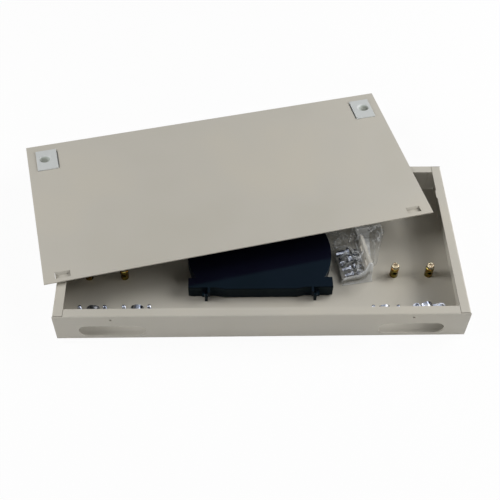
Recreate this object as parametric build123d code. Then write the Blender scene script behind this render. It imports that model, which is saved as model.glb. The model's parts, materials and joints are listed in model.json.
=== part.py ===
from build123d import *
import os
from math import asin, cos, degrees, radians, sin

# Low fibre termination box of folded steel sheet, shown open: the cover lies loose and askew on top,
# and a splice tray, wire posts, cable clamps and a bag of fixings lie inside.
# Millimetres. Origin: centre of the box's footprint on its underside. +X right, +Y back, +Z up.

# ---- box ----
WIDTH = 430.0             # outside, left to right
DEPTH = 210.0             # outside, front to back
HEIGHT = 40.0             # outside, floor to rim
SHEET = 1.2               # steel sheet of the box and the cover
RIM = 10.3                # width of the rim that is folded inward
BEND = 0.8                # inside radius of the folds
CORNER_GAP = 0.6          # open seam between the side plates and the front and back walls
TAB_WIDTH = 12.0          # welding tab at each end of a side plate
TAB_MARGIN = 5.0          # the tab stops this far from the floor and from the rim
NIB_FROM_BACK = 44.5      # small lug on each side rim's inner edge
NIB_LENGTH = 11.0
NIB_REACH = 1.0

# ---- cable slots and small holes in the front and back walls ----
SLOT_FROM_SIDE = 59.0     # centre of each cable slot, and of the small hole over it
SLOT_LENGTH = 69.5
SLOT_HEIGHT = 18.0
SLOT_Z = 14.3
SMALL_HOLE_R = 1.25
SMALL_HOLE_FROM_TOP = 5.7

# ---- holes for the rack ears in the side plates ----
EAR_HOLE_R = 2.1
EAR_HOLE_SPACING = 22.0
EAR_HOLE_SETBACK = 13.0   # from the front face to the first hole

# ---- cover ----
COVER_OVERHANG = 1.5      # past each side of the box when it is in place
COVER_SETBACK = 1.0       # short of the front and of the back
COVER_TURN = 12.99        # degrees about +Z: the cover lies askew
HOOK_ON_RIM = 7.17        # tip of the left hook, which lies on the left rim: from the box's side
HOOK_FROM_FRONT = 47.72   # and from its front
REST_GAP = 0.2            # between pieces that only lie on one another
HOOK_FROM_SIDE = 20.25    # centre of each hook's lance
HOOK_LANCE_WIDTH = 16.0
HOOK_SIDE_GAP = 0.3
HOOK_ROOT = 13.0          # from the cover's front edge
HOOK_TIP = 5.0
HOOK_RAMP = 2.3
HOOK_DROP = 3.0           # underside of the hook below the underside of the cover

# ---- cover latches ----
LATCH_LENGTH = 23.9       # along the slide
LATCH_WIDTH = 32.0
LATCH_FROM_SIDE = 10.1
LATCH_FROM_BACK = 10.3
LATCH_THICK = 1.3
LATCH_CLEAR = 0.2         # above and below the cover sheet
LATCH_TRAVEL = 6.0
LATCH_STOP_GAP = 0.3
LATCH_CHAMFER = 0.5
CUTOUT_FROM_SIDE = 11.0
CUTOUT_SHOWN = 1.3        # part of the cut-out left uncovered at the locked end
CUTOUT_MARGIN = 2.5       # plate overlap at each end of the cut-out
RECESS_LENGTH = 15.0
RECESS_WIDTH = 13.0
RECESS_DEPTH = 2.4
RECESS_OUT = 1.4          # its centre from the plate's, towards the side
RECESS_BACK = 1.8         # and towards the back
RECESS_FLOOR_LENGTH = 7.0
RECESS_FLOOR_WIDTH = 5.2
RECESS_LEAN_OUT = 2.2     # its floor lies this much further out
RECESS_LEAN_FRONT = 1.6   # and further forward, under the finger's tip
KEEPER_LENGTH = 24.8      # from the outer end of the neck, past the inner end of the cut-out
KEEPER_THICK = 3.0
TONGUE_END = 4.9          # from the cover's side edge, at the locked end
TONGUE_WIDTH = 20.0
TONGUE_GAP = 0.3

# ---- wire posts ----
POST_FROM_SIDE = (26.5, 65.5)
POST_FROM_FRONT = 79.5
POST_R = 4.5
POST_HEIGHT = 13.9
POST_SPIGOT_R = 2.5
POST_CHAMFER = 0.5
WIRE_HOLE_R = 2.1
WIRE_HOLE_UP = 7.7        # above the floor
SCREW_R = 2.0
SCREW_CLEAR = 0.05
SCREW_HEAD_R = 4.2
SCREW_HEAD_HEIGHT = 3.8
SCREW_HEAD_GAP = 0.4
SCREW_HEAD_ROUND = 1.3
SCREW_SHANK = 5.0
CROSS_SIZE = 4.4
CROSS_WIDTH = 1.1
CROSS_DEPTH = 1.7

# ---- cable clamps ----
CLAMP_FROM_SIDE = (35.0, 82.0)
CLAMP_FROM_FRONT = (31.0, 28.0)     # left pair, right pair
CLAMP_STUD_HALF = 13.4
CLAMP_FOOT_END = 18.6
CLAMP_DEPTH = 9.0
CLAMP_SHEET = 1.2
CLAMP_HEIGHT = 10.0
CLAMP_ARCH_R = 7.2
CLAMP_FOOT_ROUND = 2.5
CLAMP_HOLE_R = 2.25
CLAMP_SLOT_EASE = 1.0     # the open slot is this much wider on its inner side, so the foot can swing out
CLAMP_SWING = 14.0        # degrees that the loose clamp is swung out of its second stud
LOOSE_GAP = 0.3
STUD_R = 2.0
STUD_HEIGHT = 14.0        # above the floor
STUD_CHAMFER = 0.5
LOOSE_NUT_DOWN = 0.5      # the loose clamp's nuts stand this far below their studs' tips
NUT_FLATS = 7.0
NUT_HEIGHT = 3.2
NUT_FLANGE_R = 4.6
NUT_FLANGE = 0.9
NUT_CLEAR = 0.02

# ---- splice tray ----
TRAY_FROM_FRONT = 52.0    # front of the tray from the front of the box
TRAY_DEPTH = 98.0
TRAY_END_R = 70.0
TRAY_HALF_STRAIGHT = 10.0
TRAY_FOOT = 1.5
TRAY_FOOT_R = 4.0
TRAY_FOOT_X = 52.0
TRAY_FOOT_INSET = 11.0    # from the tray's front and back
BASE_TRAY_HEIGHT = 7.2
LEAF_HEIGHT = 6.2
LID_THICK = 1.5
LID_ROUND = 0.4
LAYER_GAP = 0.3
TRAY_FLOOR = 1.2
TRAY_WALL = 1.6
BULGE = 2.0               # swell of the tray's front wall
BULGE_HALF = 39.0
BULGE_SLOPE = 10.0
LUG_END = 78.4
LUG_DEPTH = 13.0
ENTRY_X = 45.0            # fibre entries in the tray's back wall
ENTRY_WIDTH = 12.0
ENTRY_SILL = 0.8          # wall left under each entry
SPOOL_X = 45.0
SPOOL_R = 22.0
SPOOL_WALL = 1.4
SPOOL_GAP = 14.0
HOLDER_LENGTH = 30.0
HOLDER_DEPTH = 42.0
HOLDER_HEIGHT = 3.9
HOLDER_SLOTS = 11
HOLDER_SLOT_WIDTH = 2.4
HOLDER_SLOT_DEPTH = 2.7
TRAY_STUD_HEIGHT = 7.4    # above the floor

# ---- hinge of the tray's leaf and lid, along the tray's front ----
HINGE_OUT = 4.6           # axis in front of the tray's front wall
KNUCKLE_R = 1.9
PIN_R = 1.0
PIN_CLEAR = 0.06
KNUCKLE_X = 59.1          # centre of the fixed knuckle
KNUCKLE_WIDTH = 3.0
LEAF_KNUCKLE_WIDTH = 2.5
KNUCKLE_GAP = 0.3
BEARING_LIFT = 0.3        # the fixed knuckle's post stays this far above the floor
BEARING_ARM = 4.0         # height of its arm above the tray's underside
STRAP_THICK = 2.5         # lid's strap down to its knuckle

# ---- bag of fixings ----
PACK_FROM_TRAY = 24.4     # centre of the packed rack ears, from the tray's right end
PACK_FROM_TRAY_FRONT = 40.3
PACK_TURN = 9.5           # degrees about +Z
EAR_FOOT = 29.0           # flange that goes against the box
EAR_FACE = 27.0           # flange that goes against the rack
EAR_HEIGHT = 40.0
EAR_SHEET = 1.5
EAR_NEST = 0.3
EAR_BEND = 2.5            # outside radius of its fold
FOOT_HOLE_SETBACK = 11.0  # from the foot flange's free edge
RACK_SLOT_UP = 0.6        # share of the rack flange's height
RACK_SLOT_LENGTH = 10.0
RACK_SLOT_WIDTH = 6.8
FILM = 0.3
BAG_SIDE = 2.2            # room between the ears and the film
BAG_FRONT = 5.0
BAG_BACK = 58.0           # empty length of bag behind the ears
BAG_SCREW_ROOM = 0.85     # film over the largest screw heads
BAG_EDGE = 7.0            # height at the left edge
BAG_SLOPE = 4.0
BAG_TOP_ROOM = 0.6        # film over the upright flanges
BAG_EMPTY = 10.0          # height of the empty part
FLAP_REACH = 35.0         # film beside the ears, on the right, at its widest
FLAP_CORNER = 13.0        # its reach at its front corner
FLAP_MIDDLE = 23.0        # and beside the back of the ears
FLAP_THICK = 5.0
SCREW_SEAT = 0.15         # lies this far above what carries it
EAR_SCREW = (8.0, 2.0, 3.9, 2.4)      # length, shank radius, head radius, head height
RACK_SCREW = (12.0, 2.9, 5.0, 3.4)

FLOOR = SHEET
INNER_X = WIDTH / 2 - SHEET
INNER_Y = DEPTH / 2 - SHEET
SLOT_X = WIDTH / 2 - SLOT_FROM_SIDE
POST_XS = [side * (WIDTH / 2 - inset) for side, inset in zip((-1, -1, 1, 1), POST_FROM_SIDE + POST_FROM_SIDE[::-1])]
POST_Y = -DEPTH / 2 + POST_FROM_FRONT
WIRE_HOLE_Z = FLOOR + WIRE_HOLE_UP
CLAMP_XS = [side * (WIDTH / 2 - inset) for side, inset in zip((-1, -1, 1, 1), CLAMP_FROM_SIDE + CLAMP_FROM_SIDE[::-1])]
CLAMP_YS = [-DEPTH / 2 + inset for inset in CLAMP_FROM_FRONT for _ in CLAMP_FROM_SIDE]
STUD_TOP = FLOOR + STUD_HEIGHT
COVER_WIDTH = WIDTH + 2 * COVER_OVERHANG
COVER_DEPTH = DEPTH - 2 * COVER_SETBACK
HOOK_X = COVER_WIDTH / 2 - HOOK_FROM_SIDE
HOOK_Y = COVER_DEPTH / 2 - HOOK_TIP
COVER_X = -WIDTH / 2 + HOOK_ON_RIM + HOOK_X * cos(radians(COVER_TURN)) - HOOK_Y * sin(radians(COVER_TURN))
COVER_Y = -DEPTH / 2 + HOOK_FROM_FRONT + HOOK_X * sin(radians(COVER_TURN)) + HOOK_Y * cos(radians(COVER_TURN))
COVER_TILT = degrees(asin((HOOK_DROP + REST_GAP) / (DEPTH - HOOK_FROM_FRONT)))
COVER_PLACE = (
    Pos(0, DEPTH / 2, HEIGHT + REST_GAP)
    * Rot(-COVER_TILT, 0, 0)
    * Pos(COVER_X, COVER_Y - DEPTH / 2, 0)
    * Rot(0, 0, COVER_TURN)
)
LATCH_NECK = LATCH_LENGTH + CUTOUT_SHOWN + LATCH_FROM_SIDE - CUTOUT_FROM_SIDE - LATCH_TRAVEL - 2 * LATCH_STOP_GAP
TRAY_BOTTOM = FLOOR + TRAY_FOOT
LEAF_BOTTOM = TRAY_BOTTOM + BASE_TRAY_HEIGHT + LAYER_GAP
LID_BOTTOM = LEAF_BOTTOM + LEAF_HEIGHT + LAYER_GAP
TRAY_FRONT = -DEPTH / 2 + TRAY_FROM_FRONT
TRAY_Y = TRAY_FRONT + TRAY_DEPTH / 2
TRAY_END_X = TRAY_HALF_STRAIGHT + TRAY_END_R
HINGE_Y = TRAY_FRONT - HINGE_OUT
HINGE_Z = LEAF_BOTTOM - LAYER_GAP / 2
PACK_PLACE = Pos(TRAY_END_X + PACK_FROM_TRAY, TRAY_FRONT + PACK_FROM_TRAY_FRONT, FLOOR) * Rot(0, 0, PACK_TURN)
EAR_FLOOR = FILM + 2 * EAR_SHEET + EAR_NEST
BAG_LOW = EAR_FLOOR + SCREW_SEAT + 2 * RACK_SCREW[2] + BAG_SCREW_ROOM


def block(x0, x1, y0, y1, z0, z1):
    """A box from its lowest to its highest corner."""
    return Pos((x0 + x1) / 2, (y0 + y1) / 2, (z0 + z1) / 2) * Box(x1 - x0, y1 - y0, z1 - z0)


def upright(radius, x, y, z0, z1):
    """A cylinder that stands on z0."""
    return Pos(x, y, (z0 + z1) / 2) * Cylinder(radius, z1 - z0)


def along_x(radius, x0, x1, y, z):
    return Pos((x0 + x1) / 2, y, z) * Rot(0, 90, 0) * Cylinder(radius, x1 - x0)


def along_y(radius, x, y0, y1, z):
    return Pos(x, (y0 + y1) / 2, z) * Rot(90, 0, 0) * Cylinder(radius, y1 - y0)


def mirrored(solid):
    return mirror(solid, about=Plane.YZ)


# ---------------------------------------------------------------- folded box
def folded_section(depth, height, gauge, bend):
    """Outline of the floor, two walls and two rims, as one sheet folded four times."""
    outer = fillet(Rectangle(depth, height).vertices(), bend + gauge)
    inner = fillet(Rectangle(depth - 2 * gauge, height - 2 * gauge).vertices(), bend)
    mouth = Pos(0, height / 2) * Rectangle(depth - 2 * RIM, 4 * gauge)
    return outer - inner - mouth


def base_pan():
    section = Plane.YZ * Pos(0, HEIGHT / 2) * folded_section(DEPTH, HEIGHT, SHEET, BEND)
    pan = Pos(-WIDTH / 2, 0, 0) * extrude(section, WIDTH, dir=(1, 0, 0))
    relief_x = WIDTH / 2 - RIM - CORNER_GAP
    for side in (-1, 1):
        end_x = sorted((side * INNER_X, side * WIDTH))
        rim_x = sorted((side * relief_x, side * WIDTH))
        pan -= block(*end_x, -INNER_Y, INNER_Y, -1, HEIGHT + 1)
        pan -= block(*rim_x, -INNER_Y, INNER_Y, HEIGHT - 2 * SHEET - BEND, HEIGHT + 1)
        slot = Plane.XZ * Pos(side * SLOT_X, SLOT_Z) * SlotOverall(SLOT_LENGTH, SLOT_HEIGHT)
        pan -= extrude(slot, DEPTH, both=True)
        pan -= along_y(SMALL_HOLE_R, side * SLOT_X, -DEPTH, DEPTH, HEIGHT - SMALL_HOLE_FROM_TOP)
    for x in POST_XS:
        pan -= upright(POST_SPIGOT_R, x, POST_Y, -1, FLOOR + 1)
    return pan


def right_side_plate():
    end_y = INNER_Y - CORNER_GAP
    outer = Pos(WIDTH / 2 - RIM / 2, HEIGHT / 2) * Rectangle(RIM, HEIGHT)
    outer = fillet(outer.vertices().sort_by(lambda v: v.X + v.Y)[-1], BEND + SHEET)
    hollow_x = WIDTH / 2 - SHEET - RIM
    hollow = Pos(hollow_x, HEIGHT / 2 - SHEET) * Rectangle(2 * RIM, HEIGHT)
    hollow = fillet(hollow.vertices().sort_by(lambda v: v.X + v.Y)[-1], BEND)
    plate = extrude(Plane.XZ * (outer - hollow), end_y, both=True)
    low, high = FLOOR + TAB_MARGIN, HEIGHT - SHEET - TAB_MARGIN
    for side in (-1, 1):
        reach = sorted((side * (end_y - 1), side * INNER_Y))
        plate += block(INNER_X, WIDTH / 2, *reach, low, high)
        skin = sorted((side * (INNER_Y - SHEET), side * INNER_Y))
        plate += block(WIDTH / 2 - TAB_WIDTH, INNER_X, *skin, low, high)
    nib_x = WIDTH / 2 - RIM
    nib_y = (DEPTH / 2 - NIB_FROM_BACK - NIB_LENGTH / 2, DEPTH / 2 - NIB_FROM_BACK + NIB_LENGTH / 2)
    plate += block(nib_x - NIB_REACH, nib_x, *nib_y, HEIGHT - SHEET, HEIGHT)
    for step in (0, 1):
        hole_y = -DEPTH / 2 + EAR_HOLE_SETBACK + step * EAR_HOLE_SPACING
        plate -= along_x(EAR_HOLE_R, INNER_X - 1, WIDTH / 2 + 1, hole_y, HEIGHT / 2)
    return plate


# ---------------------------------------------------------------- cover and latches
def cover_hook():
    """Lanced tab in the cover's own frame, right-hand side: it runs forward, below the sheet."""
    front = -COVER_DEPTH / 2
    root, knee, tip = front + HOOK_ROOT, front + HOOK_ROOT - HOOK_RAMP, front + HOOK_TIP
    half = HOOK_LANCE_WIDTH / 2 - HOOK_SIDE_GAP
    outline = Polyline(
        (root, SHEET), (root, 0), (knee, -HOOK_DROP), (tip, -HOOK_DROP),
        (tip, SHEET - HOOK_DROP), (knee, SHEET - HOOK_DROP), close=True)
    profile = Plane.YZ * make_face(outline)
    return Pos(HOOK_X, 0, 0) * extrude(profile, half, both=True)


def cover_plate():
    plate = block(-COVER_WIDTH / 2, COVER_WIDTH / 2, -COVER_DEPTH / 2, COVER_DEPTH / 2, 0, SHEET)
    inner = LATCH_FROM_SIDE + LATCH_LENGTH + CUTOUT_SHOWN
    cutout = block(
        COVER_WIDTH / 2 - inner, COVER_WIDTH / 2 - CUTOUT_FROM_SIDE,
        COVER_DEPTH / 2 - LATCH_FROM_BACK - LATCH_WIDTH + CUTOUT_MARGIN,
        COVER_DEPTH / 2 - LATCH_FROM_BACK - CUTOUT_MARGIN, -1, SHEET + 1)
    lance = block(
        HOOK_X - HOOK_LANCE_WIDTH / 2, HOOK_X + HOOK_LANCE_WIDTH / 2,
        -HOOK_Y - HOOK_SIDE_GAP, -COVER_DEPTH / 2 + HOOK_ROOT, -1, SHEET + 1)
    hook = cover_hook()
    for cut in (cutout, mirrored(cutout), lance, mirrored(lance)):
        plate -= cut
    plate = plate + hook + mirrored(hook)
    return COVER_PLACE * plate


def right_latch_slide():
    """Finger plate above the sheet, with the hollow neck that passes through the cut-out."""
    x1 = COVER_WIDTH / 2 - LATCH_FROM_SIDE
    x0 = x1 - LATCH_LENGTH
    y1 = COVER_DEPTH / 2 - LATCH_FROM_BACK
    y0 = y1 - LATCH_WIDTH
    low, top = SHEET + LATCH_CLEAR, SHEET + LATCH_CLEAR + LATCH_THICK
    plate = block(x0, x1, y0, y1, low, top)
    plate = chamfer(plate.faces().sort_by(Axis.Z)[-1].edges(), LATCH_CHAMFER)
    neck_x1 = COVER_WIDTH / 2 - CUTOUT_FROM_SIDE - LATCH_STOP_GAP
    inset = CUTOUT_MARGIN + LATCH_STOP_GAP
    neck = block(neck_x1 - LATCH_NECK, neck_x1, y0 + inset, y1 - inset, -LATCH_CLEAR, low)
    recess_x = x1 - LATCH_LENGTH / 2 + RECESS_OUT
    recess_y = y1 - LATCH_WIDTH / 2 + RECESS_BACK
    rim = Pos(recess_x, recess_y, top) * Ellipse(RECESS_LENGTH / 2, RECESS_WIDTH / 2)
    floor = Pos(recess_x + RECESS_LEAN_OUT, recess_y - RECESS_LEAN_FRONT, top - RECESS_DEPTH)
    floor *= Ellipse(RECESS_FLOOR_LENGTH / 2, RECESS_FLOOR_WIDTH / 2)
    return plate + neck - loft([floor.face(), rim.face()])


def right_latch_keeper():
    """Plate snapped on under the neck, with the tongue that goes under the box's side rim."""
    neck_x1 = COVER_WIDTH / 2 - CUTOUT_FROM_SIDE - LATCH_STOP_GAP
    y1 = COVER_DEPTH / 2 - LATCH_FROM_BACK
    y0 = y1 - LATCH_WIDTH
    low = -LATCH_CLEAR - KEEPER_THICK
    keeper = block(neck_x1 - KEEPER_LENGTH, neck_x1, y0, y1, low, -LATCH_CLEAR)
    middle = (y0 + y1) / 2
    keeper += block(
        neck_x1 - 1, COVER_WIDTH / 2 - TONGUE_END,
        middle - TONGUE_WIDTH / 2, middle + TONGUE_WIDTH / 2, low, -SHEET - TONGUE_GAP)
    return keeper


# ---------------------------------------------------------------- wire posts and cable clamps
def wire_post(x):
    top = FLOOR + POST_HEIGHT
    post = upright(POST_R, x, POST_Y, FLOOR, top)
    post = chamfer(post.faces().sort_by(Axis.Z)[-1].edges(), POST_CHAMFER)
    post += upright(POST_SPIGOT_R, x, POST_Y, 0, FLOOR)
    post -= along_y(WIRE_HOLE_R, x, POST_Y - 2 * POST_R, POST_Y + 2 * POST_R, WIRE_HOLE_Z)
    post -= upright(SCREW_R + SCREW_CLEAR, x, POST_Y, WIRE_HOLE_Z, top + 1)
    return post


def cross_recess(x, y, top):
    """Cross-shaped driver recess in a screw head."""
    arm = block(-CROSS_SIZE / 2, CROSS_SIZE / 2, -CROSS_WIDTH / 2, CROSS_WIDTH / 2, -CROSS_DEPTH, 1)
    return Pos(x, y, top) * (arm + Rot(0, 0, 90) * arm)


def wire_post_screw(x):
    low = FLOOR + POST_HEIGHT + SCREW_HEAD_GAP
    top = low + SCREW_HEAD_HEIGHT
    head = upright(SCREW_HEAD_R, x, POST_Y, low, top)
    head = fillet(head.faces().sort_by(Axis.Z)[-1].edges(), SCREW_HEAD_ROUND)
    shank = upright(SCREW_R, x, POST_Y, low - SCREW_SHANK + SCREW_HEAD_GAP, low)
    return head + shank - cross_recess(x, POST_Y, top)


def saddle():
    """Omega-shaped strap about its first stud, with its feet on z = 0; the second foot has an open slot."""
    centre_z = CLAMP_HEIGHT - CLAMP_ARCH_R
    inner_r = CLAMP_ARCH_R - CLAMP_SHEET
    solid = Pos(0, centre_z / 2) * Rectangle(2 * CLAMP_ARCH_R, centre_z)
    solid += Pos(0, centre_z) * Circle(CLAMP_ARCH_R)
    solid &= Pos(0, CLAMP_HEIGHT / 2) * Rectangle(2 * CLAMP_ARCH_R, CLAMP_HEIGHT)
    hollow = Pos(0, centre_z / 2 - 1) * Rectangle(2 * inner_r, centre_z + 2)
    hollow += Pos(0, centre_z) * Circle(inner_r)
    feet = Pos(0, CLAMP_SHEET / 2) * Rectangle(2 * CLAMP_FOOT_END, CLAMP_SHEET)
    strap = extrude(Plane.XZ * (solid + feet - hollow), CLAMP_DEPTH / 2, both=True)
    strap = fillet(strap.edges().filter_by(Axis.Z).group_by(SortBy.LENGTH)[0], CLAMP_FOOT_ROUND)
    strap -= upright(CLAMP_HOLE_R, -CLAMP_STUD_HALF, 0, -1, CLAMP_SHEET + 1)
    strap -= upright(CLAMP_HOLE_R, CLAMP_STUD_HALF, 0, -1, CLAMP_SHEET + 1)
    strap -= block(
        CLAMP_STUD_HALF - CLAMP_HOLE_R - CLAMP_SLOT_EASE, CLAMP_STUD_HALF + CLAMP_HOLE_R,
        -CLAMP_DEPTH, 0, -1, CLAMP_SHEET + 1)
    return Pos(CLAMP_STUD_HALF, 0, 0) * strap


def clamp_saddle(index):
    loose = index == len(CLAMP_XS) - 1
    lift = LOOSE_GAP if loose else 0
    turn = CLAMP_SWING if loose else 0
    return Pos(CLAMP_XS[index] - CLAMP_STUD_HALF, CLAMP_YS[index], FLOOR + lift) * Rot(0, 0, turn) * saddle()


def weld_stud(x, y, top):
    stud = upright(STUD_R, x, y, FLOOR, top)
    return chamfer(stud.faces().sort_by(Axis.Z)[-1].edges(), STUD_CHAMFER)


def flange_nut(x, y, seat):
    """Hexagon nut with a round flange, on a seat at the given height."""
    body = extrude(Pos(x, y, seat) * RegularPolygon(NUT_FLATS / 2, 6, major_radius=False), NUT_HEIGHT)
    body += upright(NUT_FLANGE_R, x, y, seat, seat + NUT_FLANGE)
    return body - upright(STUD_R + NUT_CLEAR, x, y, seat - 1, seat + NUT_HEIGHT + 1)


def clamp_stud_places():
    return [(x + side * CLAMP_STUD_HALF, y) for x, y in zip(CLAMP_XS, CLAMP_YS) for side in (-1, 1)]


def clamp_studs():
    return [weld_stud(x, y, STUD_TOP) for x, y in clamp_stud_places()]


def clamp_nuts():
    """Nuts down on the saddles' feet, but high on the loose clamp's studs."""
    down, up = FLOOR + CLAMP_SHEET, STUD_TOP - LOOSE_NUT_DOWN - NUT_HEIGHT
    fixed = 2 * (len(CLAMP_XS) - 1)
    return [flange_nut(x, y, down if index < fixed else up) for index, (x, y) in enumerate(clamp_stud_places())]


# ---------------------------------------------------------------- splice tray
def tray_outline(inset):
    """Plan of the tray: two round ends cut off straight at the front and the back."""
    ends = Pos(-TRAY_HALF_STRAIGHT, 0) * Circle(TRAY_END_R - inset)
    ends += Pos(TRAY_HALF_STRAIGHT, 0) * Circle(TRAY_END_R - inset)
    ends += Rectangle(2 * TRAY_HALF_STRAIGHT, 2 * (TRAY_END_R - inset))
    ends &= Rectangle(4 * TRAY_END_R, TRAY_DEPTH - 2 * inset)
    return Pos(0, TRAY_Y) * ends


def tray_plan():
    """The tray's plan with its swollen front and the two lugs."""
    swell = make_face(Polyline(
        (-BULGE_HALF - BULGE_SLOPE, TRAY_FRONT + 1), (-BULGE_HALF - BULGE_SLOPE, TRAY_FRONT),
        (-BULGE_HALF, TRAY_FRONT - BULGE), (BULGE_HALF, TRAY_FRONT - BULGE),
        (BULGE_HALF + BULGE_SLOPE, TRAY_FRONT), (BULGE_HALF + BULGE_SLOPE, TRAY_FRONT + 1), close=True))
    lugs = Pos(0, TRAY_FRONT + LUG_DEPTH / 2) * Rectangle(2 * LUG_END, LUG_DEPTH)
    return tray_outline(0) + swell + lugs


def tray_dish(low, height):
    """Open dish with two fibre spools and two fibre entries in its back wall."""
    dish = extrude(Pos(0, 0, low) * tray_plan(), height)
    dish -= extrude(Pos(0, 0, low + TRAY_FLOOR) * tray_outline(TRAY_WALL), height)
    for side in (-1, 1):
        spool = Circle(SPOOL_R) - Circle(SPOOL_R - SPOOL_WALL)
        spool -= Rectangle(3 * SPOOL_R, SPOOL_GAP) + Rectangle(SPOOL_GAP, 3 * SPOOL_R)
        spool = Pos(side * SPOOL_X, TRAY_Y, low + TRAY_FLOOR) * spool
        dish += extrude(spool, height - TRAY_FLOOR - LAYER_GAP)
        dish -= block(
            side * ENTRY_X - ENTRY_WIDTH / 2, side * ENTRY_X + ENTRY_WIDTH / 2,
            TRAY_Y + TRAY_DEPTH / 2 - 2 * TRAY_WALL, TRAY_Y + TRAY_DEPTH / 2 + 1,
            low + TRAY_FLOOR + ENTRY_SILL, low + height + 1)
    return dish


def knuckle(centre, width, radius):
    """Eye of the tray's hinge on its pin's axis."""
    return along_x(radius, centre - width / 2, centre + width / 2, HINGE_Y, HINGE_Z)


def both_sides(solid):
    return solid + mirrored(solid)


def splice_tray_base():
    dish = tray_dish(TRAY_BOTTOM, BASE_TRAY_HEIGHT)
    foot_y = TRAY_DEPTH / 2 - TRAY_FOOT_INSET
    for side in (-1, 1):
        for y in (TRAY_Y - foot_y, TRAY_Y + foot_y):
            dish += upright(TRAY_FOOT_R, side * TRAY_FOOT_X, y, FLOOR, TRAY_BOTTOM)
        dish -= upright(CLAMP_HOLE_R, side * SPOOL_X, TRAY_Y, 0, LEAF_BOTTOM)
    half = KNUCKLE_WIDTH / 2
    post = block(
        KNUCKLE_X - half, KNUCKLE_X + half, HINGE_Y - KNUCKLE_R, HINGE_Y + KNUCKLE_R, FLOOR + BEARING_LIFT, HINGE_Z)
    arm = block(
        KNUCKLE_X - half, KNUCKLE_X + half, HINGE_Y, TRAY_FRONT + TRAY_WALL,
        FLOOR + BEARING_LIFT, TRAY_BOTTOM + BEARING_ARM)
    bearing = post + arm + knuckle(KNUCKLE_X, KNUCKLE_WIDTH, KNUCKLE_R)
    bearing -= knuckle(KNUCKLE_X, 2 * KNUCKLE_WIDTH, PIN_R)
    return dish + both_sides(bearing)


def leaf_knuckle_x():
    return KNUCKLE_X + KNUCKLE_WIDTH / 2 + KNUCKLE_GAP + LEAF_KNUCKLE_WIDTH / 2


def lid_knuckle_x():
    return KNUCKLE_X - KNUCKLE_WIDTH / 2 - KNUCKLE_GAP - LEAF_KNUCKLE_WIDTH / 2


def splice_tray_leaf():
    dish = tray_dish(LEAF_BOTTOM, LEAF_HEIGHT)
    centre, half = leaf_knuckle_x(), LEAF_KNUCKLE_WIDTH / 2
    arm = block(centre - half, centre + half, HINGE_Y, TRAY_FRONT + TRAY_WALL, LEAF_BOTTOM, HINGE_Z + KNUCKLE_R)
    eye = arm + knuckle(centre, LEAF_KNUCKLE_WIDTH, KNUCKLE_R)
    eye -= knuckle(centre, 2 * LEAF_KNUCKLE_WIDTH, PIN_R + PIN_CLEAR)
    return dish + both_sides(eye)


def splice_tray_lid():
    lid = extrude(Pos(0, 0, LID_BOTTOM) * tray_plan(), LID_THICK)
    lid = fillet(lid.faces().sort_by(Axis.Z)[-1].edges(), LID_ROUND)
    centre, half = lid_knuckle_x(), LEAF_KNUCKLE_WIDTH / 2
    strap = block(
        centre - half, centre + half, HINGE_Y - KNUCKLE_R, HINGE_Y - KNUCKLE_R + STRAP_THICK,
        HINGE_Z, LID_BOTTOM + LID_THICK)
    arm = block(
        centre - half, centre + half, HINGE_Y - KNUCKLE_R, TRAY_FRONT + TRAY_WALL, LID_BOTTOM, LID_BOTTOM + LID_THICK)
    eye = strap + arm + knuckle(centre, LEAF_KNUCKLE_WIDTH, KNUCKLE_R)
    eye -= knuckle(centre, 2 * LEAF_KNUCKLE_WIDTH, PIN_R + PIN_CLEAR)
    return lid + both_sides(eye)


def tray_hinge_pins():
    reach = KNUCKLE_WIDTH / 2 + KNUCKLE_GAP + LEAF_KNUCKLE_WIDTH
    pin = along_x(PIN_R, KNUCKLE_X - reach, KNUCKLE_X + reach, HINGE_Y, HINGE_Z)
    return [pin, mirrored(pin)]


def splice_holder(low):
    """Comb that holds the splice sleeves side by side, its slots along X."""
    comb = block(
        -HOLDER_LENGTH / 2, HOLDER_LENGTH / 2, TRAY_Y - HOLDER_DEPTH / 2, TRAY_Y + HOLDER_DEPTH / 2,
        low, low + HOLDER_HEIGHT)
    pitch = HOLDER_DEPTH / (HOLDER_SLOTS + 0.5)
    for slot in range(HOLDER_SLOTS):
        y = TRAY_Y + (slot - (HOLDER_SLOTS - 1) / 2) * pitch
        comb -= block(
            -HOLDER_LENGTH, HOLDER_LENGTH, y - HOLDER_SLOT_WIDTH / 2, y + HOLDER_SLOT_WIDTH / 2,
            low + HOLDER_HEIGHT - HOLDER_SLOT_DEPTH, low + HOLDER_HEIGHT + 1)
    return comb


def tray_studs():
    return [weld_stud(side * SPOOL_X, TRAY_Y, FLOOR + TRAY_STUD_HEIGHT) for side in (-1, 1)]


def tray_nuts():
    return [flange_nut(side * SPOOL_X, TRAY_Y, TRAY_BOTTOM + TRAY_FLOOR) for side in (-1, 1)]


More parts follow.
